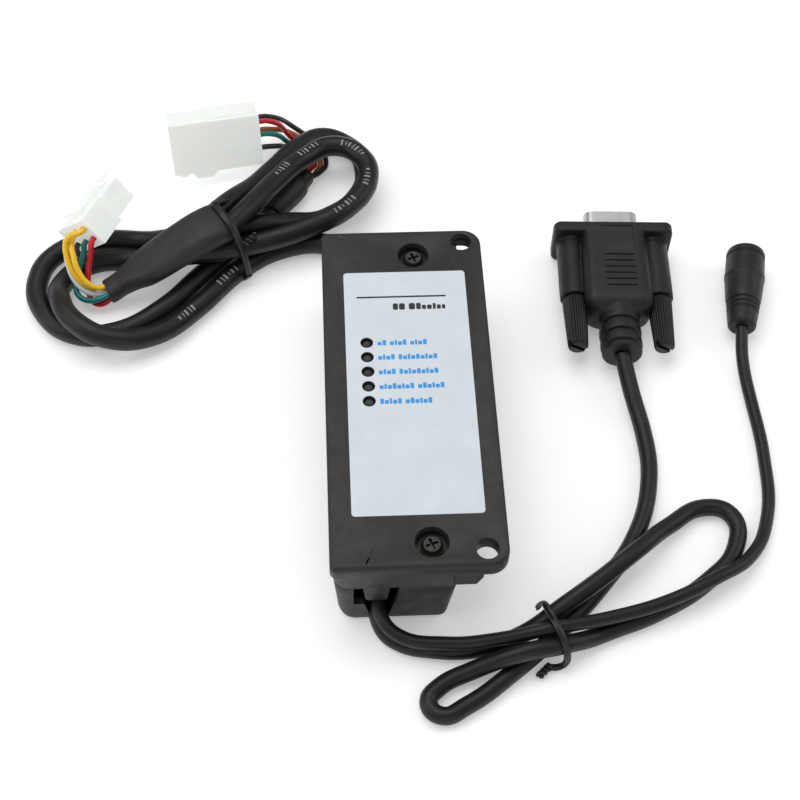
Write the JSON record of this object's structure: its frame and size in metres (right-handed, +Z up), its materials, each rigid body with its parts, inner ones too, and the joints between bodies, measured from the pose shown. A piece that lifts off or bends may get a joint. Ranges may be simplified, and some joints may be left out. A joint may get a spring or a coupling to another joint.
{
  "type": "payment bus to serial adapter",
  "caption": "Flanged plastic adapter box with a row of status lights, a coiled bus cable with a six-way receptacle and plug, a serial cable with a DE-9 and a DC power cable.",
  "frame": {"origin": "on the table under the centre of the box's top plate", "axes": "+Y along the box, from the end where the serial and power cables leave to the end where the bus cable leaves; +X to the side where the flange overhangs; +Z up, out of the face with the lights"},
  "size_m": [0.2214, 0.2061, 0.0302],
  "materials": {
    "case_plastic": "fine satin grain",
    "label_film": "smooth",
    "lamp_epoxy": "smooth",
    "board_laminate": "smooth",
    "chip_plastic": "matte",
    "ivory_plastic": "matte",
    "can_sleeve": "smooth",
    "steel": "plain",
    "contact_gold": "bright",
    "tin": "bright",
    "jacket_rubber": "satin",
    "sleeve_rubber": "satin",
    "tie_plastic": "smooth",
    "clear_nylon": "translucent natural",
    "wire_yellow": "smooth",
    "wire_white": "smooth",
    "wire_teal": "smooth",
    "wire_red": "smooth",
    "wire_black": "smooth",
    "wire_orange": "smooth",
    "hood_plastic": "satin"
  },
  "bodies": {
    "adapter": {"top_cover": "case_plastic", "base_tray": "case_plastic", "label": "label_film", "status_leds": "lamp_epoxy", "circuit_board": "board_laminate", "microcontroller": "chip_plastic", "serial_driver_chip": "chip_plastic", "optocouplers": "ivory_plastic", "voltage_regulator": "chip_plastic", "capacitors": "can_sleeve", "crystal": "tin", "chip_resistors": "chip_plastic", "board_headers": "ivory_plastic", "board_plugs": "ivory_plastic", "board_wires": "wire_red", "board_screws": "steel", "cover_screws": "steel", "front_strain_tie": "tie_plastic", "rear_strain_tie": "tie_plastic", "bus_cable": "jacket_rubber", "bus_branch_cable": "jacket_rubber", "splice_sleeve": "sleeve_rubber", "branch_sleeve": "sleeve_rubber", "bus_twist_tie": "tie_plastic", "receptacle_housing": "clear_nylon", "receptacle_contacts": "contact_gold", "yellow_wires": "wire_yellow", "white_wires": "wire_white", "teal_wires": "wire_teal", "red_wires": "wire_red", "black_wires": "wire_black", "plug_housing": "clear_nylon", "plug_contacts": "contact_gold", "plug_red_wire": "wire_red", "plug_teal_wire": "wire_teal", "plug_black_wires": "wire_black", "plug_orange_wire": "wire_orange", "serial_cable": "jacket_rubber", "serial_twist_tie": "tie_plastic", "de9_hood": "hood_plastic", "de9_shell": "tin", "de9_insert": "chip_plastic", "de9_contacts": "contact_gold", "power_cable": "jacket_rubber", "power_jack_body": "hood_plastic", "power_jack_insert": "chip_plastic", "power_jack_pin": "tin", "power_jack_spring": "contact_gold"},
    "left_screw": {"left_thumbscrew": "steel", "left_knob": "hood_plastic"},
    "right_screw": {"right_thumbscrew": "steel", "right_knob": "hood_plastic"},
    "latch": {"receptacle_latch": "clear_nylon"}
  },
  "joints": [
    {"name": "left_thumbscrew_turn", "type": "hinge", "parent": "adapter", "child": "left_screw", "pos_m": [0.05132, 0.04477, 0.0076], "axis": [0.0436, 0.999, 0], "continuous": true},
    {"name": "right_thumbscrew_turn", "type": "hinge", "parent": "adapter", "child": "right_screw", "pos_m": [0.0763, 0.04368, 0.0076], "axis": [0.0436, 0.999, 0], "continuous": true},
    {"name": "latch_press", "type": "hinge", "parent": "adapter", "child": "latch", "pos_m": [-0.09354, 0.07577, 0.01903], "axis": [0.6465, -0.3153, 0.6947], "range_deg": [0, 8], "stiffness_Nm_per_rad": 0.2}
  ]
}
